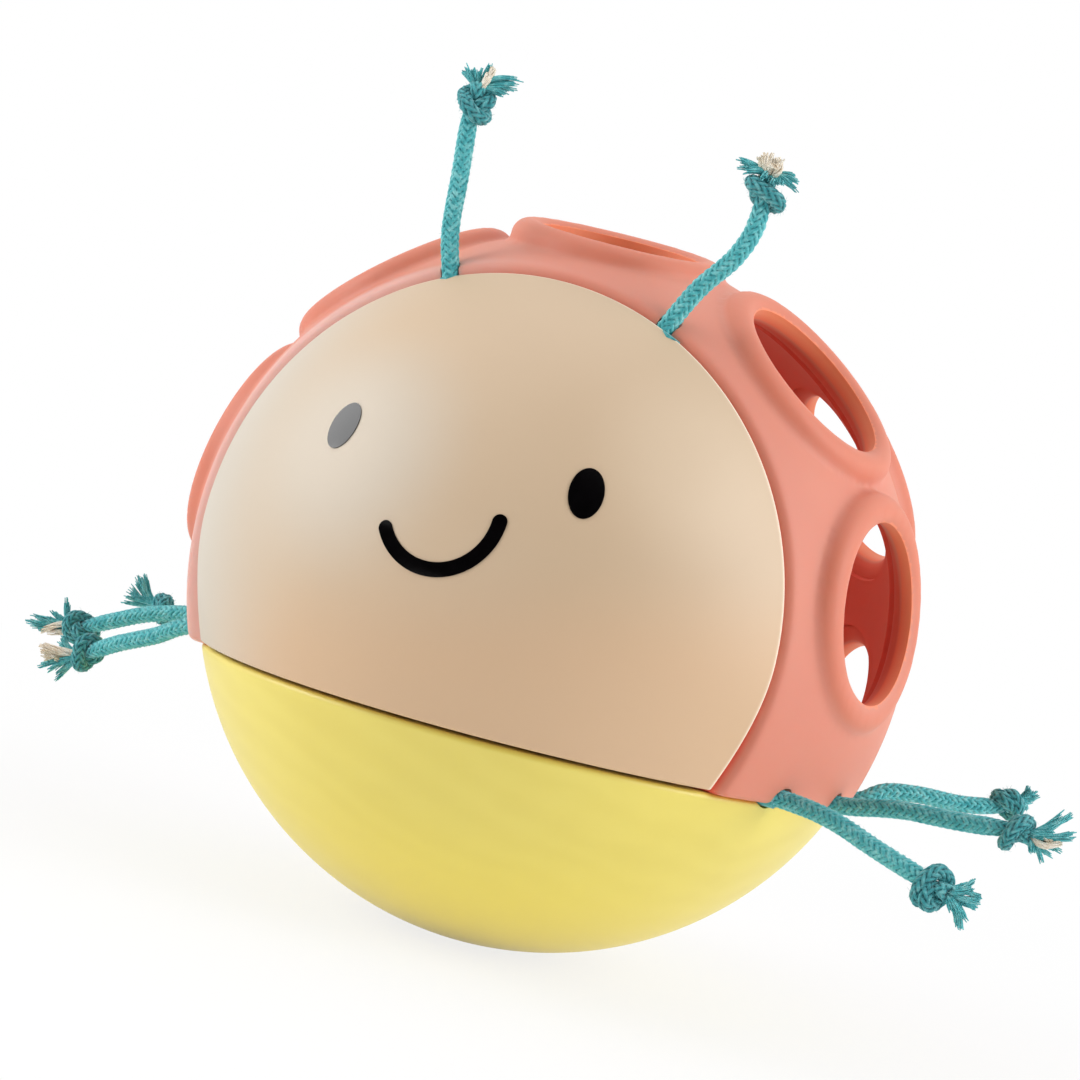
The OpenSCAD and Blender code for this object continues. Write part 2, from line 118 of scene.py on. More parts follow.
# Each free cord end: where it comes out, the way back in, its bends, its knot's middle and its tip,
# the knot's turn and its scale along, across and deep, and where its frayed yarns end, past the knot,
# to the right, up and towards the viewer
CORDS = {
    "leg_right_front": dict(
        exit=(45.923, LEG_ROWS[0], LEG_Z), inward=(-1, 0, 0), turn=0, knot=(0.36, 0.96, 0.5),
        route=[(6.6, -2.6, -0.4), (14.8, -5.85, -2.3), (23.3, -9.2, -4.1), (28.9, -11.4, -5)],
        yarns=[(4.4, -0.4, 0.5), (3.9, -1.0, 1.2), (3.7, -1.7, 0.0), (3.4, 0.4, 0.9), (2.8, 1.0, -0.8),
               (3.6, 1.8, 0.3), (1.8, -4.6, 0.4), (2.3, -3.4, 0.9), (1.4, -4.1, -0.6), (0.6, -2.3, 0.4)],
        core=[]),
    "leg_right_middle": dict(
        exit=(49.222, LEG_ROWS[1], LEG_Z), inward=(-1, 0, 0), turn=140, knot=(0.46, 0.72, 0.72),
        route=[(8.5, -2.2, 1.85), (17.1, -4.45, 2.75), (24.7, -6.4, 3.6), (29.9, -7.8, 3)],
        yarns=[(5.4, 2.8, 0.4), (4.9, 3.0, -0.8), (6.2, 0.5, 0.3), (5.8, -0.3, 1.0), (4.1, -1.9, 0.9),
               (3.5, -2.7, -0.4), (1.8, -3.4, 0.6), (0.6, -2.2, 0.8), (3.2, 0.6, 1.6)],
        core=[(4.3, -0.8, 0.7)]),
    "leg_right_rear": dict(
        exit=(47.761, LEG_ROWS[2], LEG_Z), inward=(-1, 0, 0), turn=250, knot=(0.38, 0.64, 0.64),
        route=[(2.7, 1.9, 1.9), (6.6, 4.7, 2.65), (12.5, 8.9, 2.75), (18, 12.8, 4.1), (21.1, 15, 6.3)],
        yarns=[(1.4, 2.6, 0.2), (2.6, 1.7, -0.6), (2.7, 1.1, 0.7), (1.5, 2.0, 0.9), (1.2, -0.9, 0.5),
               (2.2, 0.2, -0.9)],
        core=[]),
    "leg_left_front": dict(
        exit=(-45.923, LEG_ROWS[0], LEG_Z), inward=(1, 0, 0), turn=70, knot=(0.46, 0.74, 0.74),
        route=[(-6.3, 2.2, -3), (-13, 4.45, -5.75), (-19.4, 6.6, -8.8), (-27.6, 9.4, -12)],
        yarns=[(-5.8, -1.8, 0.5), (-5.2, -1.3, 0.0), (-3.2, -3.8, 0.5), (-2.6, -3.2, -0.3), (-2.4, 2.8, 0.2),
               (-3.0, 1.8, -0.8), (-4.2, -2.4, 0.9)],
        core=[(-5.3, 1.5, 0.3), (-5.1, 0.7, 0.9), (-5.2, 0.1, 0.2), (-4.8, -0.6, 0.8)]),
    "leg_left_middle": dict(
        exit=(-49.222, LEG_ROWS[1], LEG_Z), inward=(1, 0, 0), turn=190, knot=(0.46, 0.72, 0.72),
        route=[(-5.4, 0.95, 0.1), (-12.6, 2.2, -1.5), (-18.15, 3.2, -3.65), (-25.4, 4.5, -6.7),
               (-33.7, 5.95, -8.2)],
        yarns=[(-7.0, 1.2, 0.4), (-6.8, 0.6, -0.6), (-6.4, 1.9, 0.0), (-6.0, 0.2, 0.8), (-5.2, 1.4, 0.9),
               (-0.9, 4.4, 0.3), (-3.2, 2.7, 0.2), (-2.8, 2.2, -0.6)],
        core=[(-4.6, -0.4, 0.5)]),
    "leg_left_rear": dict(
        exit=(-47.761, LEG_ROWS[2], LEG_Z), inward=(1, 0, 0), turn=310, knot=(0.46, 0.66, 0.66),
        route=[(-7, 2.5, -0.5), (-16, 6.6, -1.3), (-25.5, 10.8, -2.7), (-33, 14, -2)],
        yarns=[(-2.8, 5.2, 0.3), (-1.9, 4.8, -0.5), (-3.7, 4.7, 0.6), (-4.4, 3.6, 0.2), (-5.8, 0.9, 0.0),
               (-3.2, 5.1, -0.8), (-2.3, 4.3, 0.9), (-5.2, 1.9, 0.8), (-4.8, 2.7, -0.4)],
        core=[]),
    "antenna_left": dict(
        exit=(-16.04, -26.5, 41.5), inward=(0.358, 0, -0.934), turn=30, knot=(0.66, 0.72, 0.72),
        route=[(-1.2, 0, 4.5), (-1.8, 0, 12), (-2.4, 0, 21.9), (-1.7, 0, 28)],
        yarns=[(5.8, 1.2, 0.2), (5.5, 0.5, 0.8), (5.0, -0.3, 0.2), (4.0, -0.8, 0.6), (4.4, 1.6, -0.6),
               (5.2, 0.9, -0.7), (-0.3, 2.4, 0.6), (0.4, 2.7, 0.0), (1.7, 3.5, -0.3), (-1.7, 3.2, 0.0),
               (-2.0, 2.1, 0.5), (-0.7, 2.9, -0.5)],
        core=[(2.1, 2.9, -0.2)]),
    "antenna_right": dict(
        exit=(16.99, -26.5, 41.04), inward=(-0.394, 0, -0.919), turn=100, knot=(0.40, 0.84, 0.84),
        route=[(2.5, 0, 4.6), (6.1, 0, 9.3), (7.7, 0, 13.2), (7.95, 0, 18.2), (7.6, 0, 24.8)],
        yarns=[(-4.0, 2.5, 0.4), (-3.9, 1.4, 0.8), (-3.4, 2.0, -0.5), (-3.1, 0.8, 1.2), (3.6, -1.6, 0.5),
               (3.7, -0.5, 0.9), (3.3, 0.5, 0.2), (2.9, -1.0, 1.5), (0.3, -0.9, 2.5), (-1.2, -0.3, 2.4),
               (1.6, -1.0, 2.2)],
        core=[(-1.5, 3.0, 0.3), (-0.6, 3.3, 0.6), (0.6, 3.2, 0.2), (1.6, 2.6, 0.7), (1.3, 1.7, 1.3)]),
}


# Camera

VIEW_AZIMUTH = 21.0
VIEW_ELEVATION = 2.5
VIEW_ROLL = 14.3


def view_axes():
    """The photograph's right, up and towards the viewer: right of the face, just above level, rolled."""
    azimuth = math.radians(VIEW_AZIMUTH)
    elevation = math.radians(VIEW_ELEVATION)
    roll = math.radians(VIEW_ROLL)
    back = Vector((math.sin(azimuth) * math.cos(elevation),
                   -math.cos(azimuth) * math.cos(elevation), math.sin(elevation)))
    right = Vector((math.cos(azimuth), math.sin(azimuth), 0))
    up = back.cross(right)
    return (math.cos(roll) * right + math.sin(roll) * up,
            math.cos(roll) * up - math.sin(roll) * right, back)


def place_camera():
    """The photograph's camera, with the middle of the ball at its place in the square frame."""
    distance = 0.375
    sensor = 36.0
    ball_px, focal_px, frame_px = (551.5, 600.2), 2622.0, 1080.0
    across, upward, back = view_axes()
    camera = bpy.data.objects.new("camera", bpy.data.cameras.new("camera"))
    bpy.context.scene.collection.objects.link(camera)
    camera.matrix_world = Matrix.Translation(CENTRE + back * distance) @ Matrix(
        (across, upward, back)).transposed().to_4x4()
    camera.data.sensor_width = sensor
    camera.data.lens = sensor * focal_px / frame_px
    camera.data.shift_x = (frame_px / 2 - ball_px[0]) / frame_px
    camera.data.shift_y = (ball_px[1] - frame_px / 2) / frame_px
    camera.data.clip_start = 0.01
    camera.data.dof.use_dof = False
    bpy.context.scene.camera = camera


# Meshes

def new_piece(name, mesh):
    """An object at the origin, linked to the scene."""
    piece = bpy.data.objects.new(name, mesh)
    bpy.context.scene.collection.objects.link(piece)
    return piece


def mesh_from(bm, name):
    """A mesh from a bmesh, which is freed."""
    mesh = bpy.data.meshes.new(name)
    bm.to_mesh(mesh)
    bm.free()
    return mesh


def smooth_below(bm, sharp_from):
    """Smooth shading, apart from open edges and edges that turn by the given degrees or more."""
    limit = math.radians(sharp_from)
    for face in bm.faces:
        face.smooth = True
    for edge in bm.edges:
        edge.smooth = len(edge.link_faces) == 2 and edge.calc_face_angle(0) < limit


def reshade(mesh, sharp_from):
    """Marks a finished mesh's sharp edges."""
    bm = bmesh.new()
    bm.from_mesh(mesh)
    smooth_below(bm, sharp_from)
    bm.to_mesh(mesh)
    bm.free()


def piece_from_bmesh(name, bm, sharp_from=SHARP_FROM):
    """A finished piece from a bmesh drawn in mm about the ball's centre."""
    bmesh.ops.transform(bm, matrix=Matrix.Translation(CENTRE) @ Matrix.Scale(MM, 4), verts=bm.verts)
    bm.normal_update()
    smooth_below(bm, sharp_from)
    return new_piece(name, mesh_from(bm, name))


def applied_mesh(piece):
    """The piece's mesh with its modifiers applied."""
    bpy.context.view_layer.update()
    graph = bpy.context.evaluated_depsgraph_get()
    return bpy.data.meshes.new_from_object(piece.evaluated_get(graph))


def settled_mesh(piece):
    """The piece's mesh with its modifiers applied; the piece itself is removed."""
    mesh = applied_mesh(piece)
    bpy.data.objects.remove(piece)
    return mesh


def combine(piece, other, operation, solver="MANIFOLD"):
    """Adds one closed piece to another or cuts it away; the other is removed."""
    step = piece.modifiers.new("combine", "BOOLEAN")
    step.operation = operation
    step.solver = solver
    step.object = other
    mesh = applied_mesh(piece)
    piece.modifiers.clear()
    old = piece.data
    piece.data = mesh
    bpy.data.meshes.remove(old)
    bpy.data.objects.remove(other)


def sliced(bm, at, facing, **cleared):
    """Cuts a mesh along a plane and returns the edges of the cut."""
    cut = bmesh.ops.bisect_plane(bm, geom=bm.verts[:] + bm.edges[:] + bm.faces[:], dist=1e-5,
                                 plane_co=at, plane_no=facing, **cleared)
    return [g for g in cut["geom_cut"] if isinstance(g, bmesh.types.BMEdge) and g.is_valid]


def turned(bm, profile, axis, steps):
    """Turns a profile of (radius, height) points round an axis of the ball, as on a lathe."""
    across = Vector((1, 0, 0))
    rows = [bm.verts.new(across * r + axis * h) for r, h in profile]
    edges = [bm.edges.new(pair) for pair in zip(rows, rows[1:])]
    bmesh.ops.spin(bm, geom=rows + edges, cent=(0, 0, 0), axis=axis, angle=2 * math.pi,
                   steps=steps, use_merge=True)
    bmesh.ops.remove_doubles(bm, verts=bm.verts, dist=1e-4)
    bmesh.ops.recalc_face_normals(bm, faces=bm.faces)


def arc(centre, radius, start, end, steps):
    """Points on an arc, angles in degrees."""
    return [(centre[0] + radius * math.cos(math.radians(start + (end - start) * i / steps)),
             centre[1] + radius * math.sin(math.radians(start + (end - start) * i / steps)))
            for i in range(steps + 1)]


def degrees_of(point):
    """The angle of a point of a profile."""
    return math.degrees(math.atan2(point[1], point[0]))


def finish_piece(piece, name, finish, body, slot, *nodes):
    """Gives a piece its name, finish, body and the nodes it stands for; its slot is not used."""
    piece.name = name
    piece.data.name = name
    piece.data.materials.clear()
    piece.data.materials.append(finish)
    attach(piece, body)
    if nodes:
        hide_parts(*nodes)


# Cords

def smooth_route(points, step=0.2):
    """A centripetal Catmull-Rom curve through the points, in equal steps."""
    per_span = 16
    pts = np.array(points, float)
    pts = np.vstack([2 * pts[0] - pts[1], pts, 2 * pts[-1] - pts[-2]])
    out = []
    for a, b, c, d in zip(pts, pts[1:], pts[2:], pts[3:]):
        t = np.cumsum([0] + [max(np.linalg.norm(q - p), 1e-6) ** 0.5 for p, q in ((a, b), (b, c), (c, d))])
        for u in np.linspace(t[1], t[2], per_span, endpoint=False):
            ab = a + (b - a) * (u - t[0]) / (t[1] - t[0])
            bc = b + (c - b) * (u - t[1]) / (t[2] - t[1])
            cd = c + (d - c) * (u - t[2]) / (t[3] - t[2])
            abc = ab + (bc - ab) * (u - t[0]) / (t[2] - t[0])
            bcd = bc + (cd - bc) * (u - t[1]) / (t[3] - t[1])
            out.append(abc + (bcd - abc) * (u - t[1]) / (t[2] - t[1]))
    out.append(pts[-2])
    out = np.array(out)
    along = np.r_[0, np.cumsum(np.linalg.norm(np.diff(out, axis=0), axis=1))]
    even = np.linspace(0, along[-1], int(along[-1] / step) + 1)
    return np.stack([np.interp(even, along, out[:, k]) for k in range(3)], axis=1)


def carried_frames(path):
    """Tangent, normal and binormal along a path, carried without twist."""
    tangents = np.gradient(path, axis=0)
    tangents /= np.linalg.norm(tangents, axis=1)[:, None]
    any_way = [0.3, 0.5, 0.8]
    normal = np.cross(tangents[0], any_way)
    normals = []
    for t in tangents:
        normal = normal - t * (normal @ t)
        normal /= np.linalg.norm(normal)
        normals.append(normal.copy())
    normals = np.array(normals)
    return tangents, normals, np.cross(tangents, normals)


def knot_frame(spec):
    """Middle of the knot and its axes, the first along the cord."""
    before, knot, tip = (np.array(spec["exit"]) + np.array(p) for p in spec["route"][-3:])
    axis = (knot - before) / np.linalg.norm(knot - before) + (tip - knot) / np.linalg.norm(tip - knot)
    axis /= np.linalg.norm(axis)
    any_way = [0.2, -0.9, 0.35]
    side = np.cross(axis, any_way)
    side /= np.linalg.norm(side)
    other = np.cross(axis, side)
    turn = math.radians(spec["turn"])
    side, other = (math.cos(turn) * side + math.sin(turn) * other,
                   math.cos(turn) * other - math.sin(turn) * side)
    return knot, axis, side, other


def cord_route(spec):
    """Centreline of a free cord end with its overhand knot, in mm about the ball's centre, the knot's span
    on it, and the plain line that the cord follows as a whole."""
    past_turns, past_yarns, line_step = 0.5, 0.4, 0.8
    out = np.array(spec["exit"])
    inward = np.array(spec["inward"], float)
    knot, axis, side, other = knot_frame(spec)
    along = spec["knot"][0]
    half = np.array(KNOT_HALF) * spec["knot"]
    whole = np.vstack([half[:0:-1] * [-1, 1, -1], half])
    tied = knot + whole[:, :1] * axis + whole[:, 1:2] * side + whole[:, 2:] * other
    ahead = [out + inward * HELD, out + inward * HELD * 0.5, out]
    ahead += [out + np.array(p) for p in spec["route"][:-2]]
    stub = knot + axis * max(KNOT_HALF[-1][0] * along + past_turns, KNOT_END + past_yarns)
    path = smooth_route(ahead + list(tied) + [stub])
    far = np.linalg.norm(path - knot, axis=1)
    within = np.where(far < TIE_REACH)[0]
    return path, within[0], within[-1], smooth_route(ahead + [knot, stub], line_step)


def curve_mesh(name, lines, radius, sides):
    """A mesh of round strands along lines of points in mm about the ball's centre, each with its own
    share of the radius."""
    data = bpy.data.curves.new(name, "CURVE")
    data.dimensions = "3D"
    data.bevel_depth = radius * MM
    data.bevel_resolution = sides
    data.use_fill_caps = True
    shift = np.array(CENTRE)
    for line, thick in lines:
        spline = data.splines.new("POLY")
        spline.points.add(len(line) - 1)
        co = np.ones((len(line), 4))
        co[:, :3] = np.array(line) * MM + shift
        spline.points.foreach_set("co", co.ravel())
        spline.points.foreach_set("radius", np.broadcast_to(thick, len(line)).astype(float).copy())
        spline.use_smooth = True
    mesh = settled_mesh(new_piece(name, data))
    bpy.data.curves.remove(data)
    mesh.name = name
    return mesh


def braid_strands(path, loose):
    """Two sets of strands that wind round the path and pass over two and under two."""
    _, normals, binormals = carried_frames(path)
    along = np.r_[0, np.cumsum(np.linalg.norm(np.diff(path, axis=0), axis=1))]
    crossings = 2 * STRANDS * along / BRAID_PITCH
    lines = []
    for hand in (1, -1):
        for k in range(STRANDS):
            angle = hand * 2 * math.pi * along / BRAID_PITCH + 2 * math.pi * k / STRANDS
            wave = hand * np.cos(math.pi / 2 * (2 * k + hand * crossings - 0.5))
            radius = BRAID_R * loose + BRAID_WAVE * wave
            outward = np.cos(angle)[:, None] * normals + np.sin(angle)[:, None] * binormals
            lines.append((path + radius[:, None] * outward, 0.75 + 0.25 * loose))
    return lines


def loose_fibres(path, rng, count, reach):
    """Short fine fibres that stand off the braid."""
    tangents, normals, binormals = carried_frames(path)
    lines = []
    for _ in range(count):
        i = rng.randrange(4, len(path) - 4)
        angle = rng.uniform(0, 2 * math.pi)
        out = math.cos(angle) * normals[i] + math.sin(angle) * binormals[i]
        around = np.cross(tangents[i], out)
        lean = tangents[i] * rng.uniform(-1, 1) + around * rng.uniform(-0.8, 0.8)
        start = path[i] + out * (BRAID_R + 0.1)
        length = rng.uniform(0.4, 1.0) * reach
        lines.append(([start, start + (out * 0.5 + lean * 0.5) * length * 0.55,
                       start + (out * 0.55 + lean * 0.95) * length], (1.0, 0.8, 0.35)))
    return lines


def mark_depth(mesh, path):
    """Marks each point of a braid with how far out it lies: 0 in the crevices, 1 on the crowns."""
    tree = kdtree.KDTree(len(path))
    for i, p in enumerate(path):
        tree.insert(CENTRE + Vector(p) * MM, i)
    tree.balance()
    inmost, outmost = 0.78 * MM, 1.23 * MM
    depth = mesh.attributes.new("depth", "FLOAT", "POINT")
    values = [min(1.0, max(0.0, (tree.find(v.co)[2] - inmost) / (outmost - inmost))) for v in mesh.vertices]
    depth.data.foreach_set("value", values)


def joined(name, *meshes):
    """One mesh from several."""
    bm = bmesh.new()
    for mesh in meshes:
        bm.from_mesh(mesh)
        bpy.data.meshes.remove(mesh)
    return mesh_from(bm, name)


def frayed_yarns(spec, rng, ends, strands, width, curl):
    """Unlaid yarns past the knot, each a bundle of filaments, out to its own end."""
    knot, axis = knot_frame(spec)[:2]
    root = knot + axis * KNOT_END
    view = [np.array(v) for v in view_axes()]
    any_way = [0.31, 0.67, 0.55]
    lines = []
    for end in ends:
        reach = sum(e * v for e, v in zip(end, view))
        away = reach - axis * (reach @ axis)
        away /= max(np.linalg.norm(away), 1e-6)
        start = root + away * rng.uniform(0.2, 0.8)
        tip = root + reach
        lift = axis * np.linalg.norm(reach) * YARN_LIFT
        lift = lift + np.array([rng.uniform(-0.3, 0.3) for _ in range(3)])
        bow = np.array([rng.uniform(-1, 1) for _ in range(3)]) * curl
        first = np.cross(reach, any_way)
        first /= np.linalg.norm(first)
        second = np.cross(reach / np.linalg.norm(reach), first)
        for f in range(strands):
            centre = 0.0 if f == 0 else 1.0
            phase = 2 * math.pi * f / (strands - 1) + rng.uniform(-0.25, 0.25)
            flare = rng.uniform(0.05, 0.5)
            cut = rng.uniform(0.9, 1.04)
            line = []
            for t in np.linspace(0, 1, len(YARN_TAPER)):
                u = t * cut
                middle = start * (1 - u) ** 2 + 2 * u * (1 - u) * (start + lift) + u * u * tip
                middle = middle + bow * math.sin(math.pi * u) * 0.6
                twist = phase + YARN_TWIST * t
                off = centre * width * (1 + flare * max(0.0, t - 0.5) ** 2 * 4)
                line.append(middle + off * (math.cos(twist) * first + math.sin(twist) * second))
            lines.append((line, np.array(YARN_TAPER)))
    return lines


def doubled(ends, rng):
    """Each end twice over, the second a little way off."""
    near = [tuple(e * rng.uniform(0.72, 0.98) + rng.uniform(-0.5, 0.5) for e in end) for end in ends]
    return list(ends) + near


def add_yarns(name, body, spec, rng, ends, make, finish):
    """A piece of frayed yarns, attached to the body named for its cord."""
    lines = frayed_yarns(spec, rng, doubled(ends, rng), make["strands"], make["width"], make["curl"])
    yarns = new_piece(name, curve_mesh(name, lines, make["radius"], 0))
    yarns.data.materials.append(finish)
    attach(yarns, body)
    return yarns


def make_cord(name, spec, materials):
    """A braided cord end with its knot, its frayed yarns and any core yarns."""
    rng = random.Random(name)
    path, tie_from, tie_to, line = cord_route(spec)
    loose = np.ones(len(path))
    for i in range(len(path)):
        inside = min(i - tie_from, tie_to - i)
        loose[i] = 1.0 - TIE_SQUEEZE * min(1.0, max(0.0, (inside + TIE_EASE) / (2 * TIE_EASE)))
    braid = curve_mesh(name + "_braid", braid_strands(path, loose), STRAND_R, 1)
    fuzz = curve_mesh(name + "_fuzz", loose_fibres(path, rng, FUZZ_COUNT, FUZZ_REACH), FUZZ_R, 0)
    cord = new_piece(name + "_cord", joined(name + "_cord", braid, fuzz))
    mark_depth(cord.data, path)
    cord.data.materials.append(materials["cord"])
    on_cord = [add_yarns(name + "_tuft", name, spec, rng, spec["yarns"], TUFT, materials["yarn"])]
    if spec["core"]:
        on_cord.append(add_yarns(name + "_core", name, spec, rng, spec["core"], CORE, materials["core"]))
    leaving = np.array(spec["route"][0], float)
    leaving /= np.linalg.norm(leaving)
    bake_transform(cord)
    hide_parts(name)


# Wooden base

GROOVE_R = 1.8
GROOVE_LONG = 120.0


def make_base(finish):
    """Turned wooden base: rounded foot, ball side and rounded rim, with grooves for the leg cords."""
    rim = 0.7
    foot_edge = 0.6
    rim_rho = math.sqrt((BASE_R - rim) ** 2 - (SEAM_Z - rim) ** 2)
    rim_middle = (rim_rho, SEAM_Z - rim)
    foot_rho = math.sqrt((BASE_R - foot_edge) ** 2 - (CENTRE_Z - foot_edge) ** 2)
    foot_middle = (foot_rho, -CENTRE_Z + foot_edge)
    side_from, side_to = degrees_of(foot_middle), degrees_of(rim_middle)
    profile = [(0.0, -CENTRE_Z), (foot_rho * 0.5, -CENTRE_Z)]
    profile += arc(foot_middle, foot_edge, -90, side_from, 5)
    profile += arc((0, 0), BASE_R, side_from, side_to, 44)[1:]
    profile += arc(rim_middle, rim, side_to, 90, 8)[1:]
    profile += [(rim_rho * 0.66, SEAM_Z), (0.0, SEAM_Z)]
    bm = bmesh.new()
    turned(bm, profile, UP, 192)
    base = piece_from_bmesh("wood_base", bm)
    grooves = bmesh.new()
    for y in LEG_ROWS:
        made = bmesh.ops.create_cone(grooves, cap_ends=True, segments=32, radius1=GROOVE_R,
                                     radius2=GROOVE_R, depth=GROOVE_LONG)
        bmesh.ops.rotate(grooves, verts=made["verts"], matrix=ALONG_X)
        bmesh.ops.translate(grooves, verts=made["verts"], vec=(0, y, LEG_Z))
    combine(base, piece_from_bmesh("grooves", grooves), "DIFFERENCE", "EXACT")
    reshade(base.data, SHARP_FROM)
    finish_piece(base, "wood_base", finish, "ball", "wood_yellow", "base")


# Face

PRINT_T = 0.12
PRINT_SUNK = 0.05
PRINT_SHARP = 60.0


def make_face(finish):
    """Face dome: a cap with a rounded back rim, drawn in to the wood and cut flat below, its edge rounded."""
    rim, low = 0.7, 0.45
    draw_from, draw_span = 1.0, 17.0
    rim_rho = math.sqrt((FACE_R - rim) ** 2 - (FACE_Y - rim) ** 2)
    ahead = -FACE_Y
    rim_middle = (rim_rho, ahead + rim)
    tangent = degrees_of(rim_middle)
    profile = arc((0, 0), FACE_R, 90, tangent, 72)
    profile[0] = (0.0, FACE_R)
    profile += arc(rim_middle, rim, tangent, -90, 8)[1:]
    profile += [(rim_rho * 0.8, ahead), (0.0, ahead)]
    bm = bmesh.new()
    turned(bm, profile, AHEAD, 224)
    middle_rho = math.sqrt((FACE_R - low) ** 2 - (FACE_LOW_Z + low) ** 2)
    touch = (FACE_LOW_Z + low) * FACE_R / (FACE_R - low)
    levels = [FACE_LOW_Z + low - low * math.cos(math.radians(a)) for a in range(12, 90, 12)]
    levels = [z for z in levels if z < touch] + [touch, touch + 0.4]
    for z in levels:
        sliced(bm, (0, 0, z), UP)
    edges = sliced(bm, (0, 0, FACE_LOW_Z), UP, clear_inner=True)
    for vert in bm.verts:
        x, y, z = vert.co
        if z < touch and y < FACE_Y - 0.01:
            ball_rho = math.sqrt(max(FACE_R**2 - z * z, 1))
            round_rho = middle_rho + math.sqrt(max(low**2 - (FACE_LOW_Z + low - z) ** 2, 0))
            keep = round_rho / ball_rho
            vert.co = (x * keep, min(y * keep, FACE_Y), z)
    for vert in bm.verts:
        low_share = min(1.0, max(0.0, (draw_from - vert.co.z) / draw_span))
        drawn = FACE_DRAW * low_share * low_share * (3 - 2 * low_share)
        vert.co.x *= 1 - drawn / FACE_R
        vert.co.y = FACE_Y + (vert.co.y - FACE_Y) * (1 - drawn / (FACE_R + FACE_Y))
    bmesh.ops.triangle_fill(bm, use_beauty=True, edges=edges)
    bmesh.ops.recalc_face_normals(bm, faces=bm.faces)
    face = piece_from_bmesh("face_cap", bm)
    finish_piece(face, "face_cap", finish, "ball", "face_plastic", "face_dome")


def make_eye(name, turn, height, finish):
    """A printed oval that follows the face."""
    wide, tall = 4.5 / 2, 6.75 / 2
    t, h = math.radians(turn), math.radians(height)
    out = Vector((math.sin(t) * math.cos(h), -math.cos(t) * math.cos(h), math.sin(h)))
    right = Vector((math.cos(t), math.sin(t), 0))
    up = Vector((-math.sin(t) * math.sin(h), math.cos(t) * math.sin(h), math.cos(h)))
    bm = bmesh.new()
    bmesh.ops.create_circle(bm, cap_ends=True, cap_tris=True, segments=96, radius=1.0)
    spokes = [e for e in bm.edges if min(v.co.length for v in e.verts) < 0.5]
    bmesh.ops.subdivide_edges(bm, edges=spokes, cuts=7, use_grid_fill=True)
    for vert in bm.verts:
        a, b = vert.co.x * wide, vert.co.y * tall
        vert.co = right * a + up * b + out * math.sqrt((FACE_R + PRINT_T) ** 2 - a * a - b * b)
    printed(bm, name, finish, out)


def printed(bm, name, finish, out):
    """Gives a printed mark its small thickness, its edge sunk a little into the face, and finishes it."""
    bmesh.ops.remove_doubles(bm, verts=bm.verts, dist=1e-5)
    bmesh.ops.recalc_face_normals(bm, faces=bm.faces)
    if sum(f.normal.dot(out) for f in bm.faces) < 0:
        bmesh.ops.reverse_faces(bm, faces=bm.faces)
    rim = [e for e in bm.edges if e.is_boundary]
    grown = bmesh.ops.extrude_edge_only(bm, edges=rim)
    for vert in (g for g in grown["geom"] if isinstance(g, bmesh.types.BMVert)):
        vert.co = vert.co.normalized() * (FACE_R - PRINT_SUNK)
    bmesh.ops.recalc_face_normals(bm, faces=bm.faces)
    mark = piece_from_bmesh(name + "_print", bm, PRINT_SHARP)
    finish_piece(mark, name + "_print", finish, "ball", "print_black", name)


def make_smile(finish):
    """A printed smile: an arc stroke with round ends."""
    middle, radius, width = Vector((1.85, 0, 9.8)), 7.75, 1.9
    start, end = math.radians(212), math.radians(361.5)
    bm = bmesh.new()
    rows = [bm.verts.new(((radius + width * (k / 6 - 0.5)) * math.cos(start), 0,
                          (radius + width * (k / 6 - 0.5)) * math.sin(start))) for k in range(7)]
    line = [bm.edges.new(pair) for pair in zip(rows, rows[1:])]
    bmesh.ops.spin(bm, geom=rows + line, cent=(0, 0, 0), axis=(0, -1, 0), angle=end - start, steps=72)
    for angle, hand in ((start, -1), (end, 1)):
        tip = Vector((radius * math.cos(angle), 0, radius * math.sin(angle)))
        out = Vector((math.cos(angle), 0, math.sin(angle)))
        ray = [bm.verts.new(tip + out * width / 2 * k / 3) for k in range(4)]
        spoke = [bm.edges.new(pair) for pair in zip(ray, ray[1:])]
        bmesh.ops.spin(bm, geom=ray + spoke, cent=tip, axis=(0, -1, 0), angle=hand * math.pi, steps=24)
    for vert in bm.verts:
        x, z = vert.co.x + middle.x, vert.co.z + middle.z
        vert.co = (x, -math.sqrt((FACE_R + PRINT_T) ** 2 - x * x - z * z), z)
    bmesh.ops.remove_doubles(bm, verts=bm.verts, dist=1e-3)
    printed(bm, "smile", finish, AHEAD)


# Grip shell

PLUG_FROM = 38.0
PLUG_TO = 60.0
FLANGE_IN_R = 41.5
FLANGE_OUT_R = 46.8
FLANGE_LOW = 1.0
FLANGE_TOP = 1.6
MELT_STEP = 0.45
SMOOTH_ROUNDS = 6
LEG_NOTCH_R = 1.6
LEG_NOTCH_X = 46
LEG_NOTCH_LONG = 30
ANTENNA_NOTCH_R = 1.4
ANTENNA_NOTCH_LONG = 20
SHELL_TRIANGLES = 185000
SHELL_SHARP = 38.0


def hole_axis(lean, turn):
    """The way out of a finger hole."""
    a, t = math.radians(lean), math.radians(turn)
    return Vector((math.sin(a) * math.sin(t), math.cos(a), math.sin(a) * math.cos(t)))


def stand_on(axis):
    """Turns +Z to an axis."""
    return axis.to_track_quat("Z", "Y").to_matrix()


def trimmed(bm):
    """Cuts the shell's front and lower planes and closes the cuts."""
    for at, facing in (((0, SHELL_FRONT_Y, 0), AHEAD), ((0, 0, SEAM_Z), -UP)):
        edges = sliced(bm, at, facing, clear_outer=True)
        if edges:
            bmesh.ops.triangle_fill(bm, use_beauty=True, edges=edges)
    bmesh.ops.recalc_face_normals(bm, faces=bm.faces)


